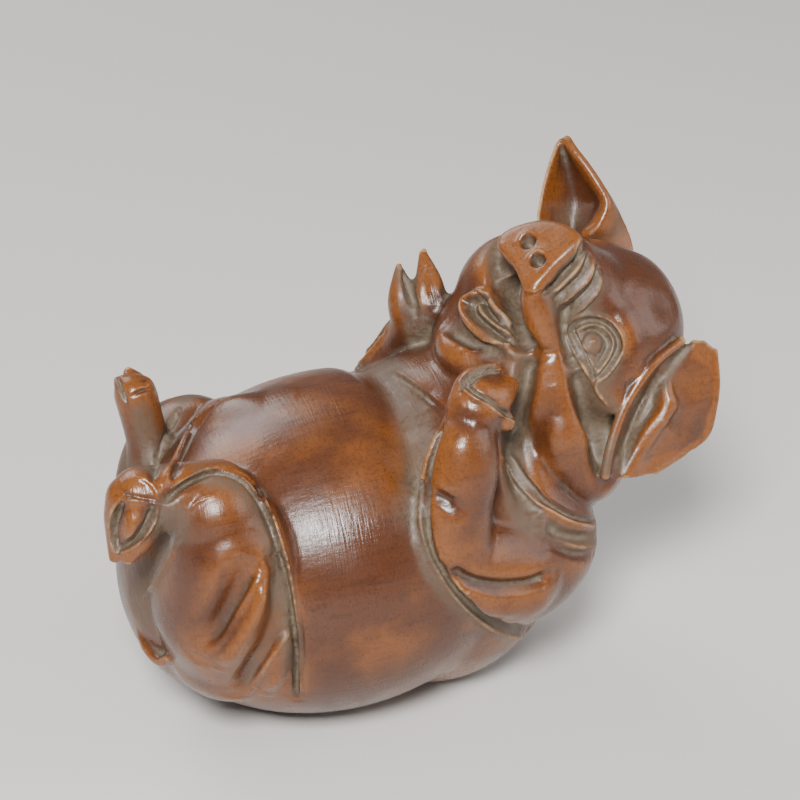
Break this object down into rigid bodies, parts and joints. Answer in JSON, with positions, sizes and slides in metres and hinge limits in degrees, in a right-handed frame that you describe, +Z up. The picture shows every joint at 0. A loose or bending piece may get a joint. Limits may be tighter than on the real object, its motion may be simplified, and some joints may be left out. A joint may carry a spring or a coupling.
{
  "type": "carved pig figure",
  "caption": "Carved wooden figure of a fat pig lying on its back with its feet in the air, for a shelf or a hand.",
  "frame": {"origin": "on the resting surface, at the height of the planed underside, below the middle of the belly", "axes": "+X towards the pig's head, +Z up out of its belly, so that its left side faces -Y"},
  "size_m": [0.0862, 0.0475, 0.0666],
  "materials": {
    "boxwood": "dark reddish brown polished boxwood, satin to glossy on the high places, with grey-brown dust in the carved hollows"
  },
  "bodies": {
    "root": {"boxwood_pig": "boxwood"}
  },
  "joints": []
}
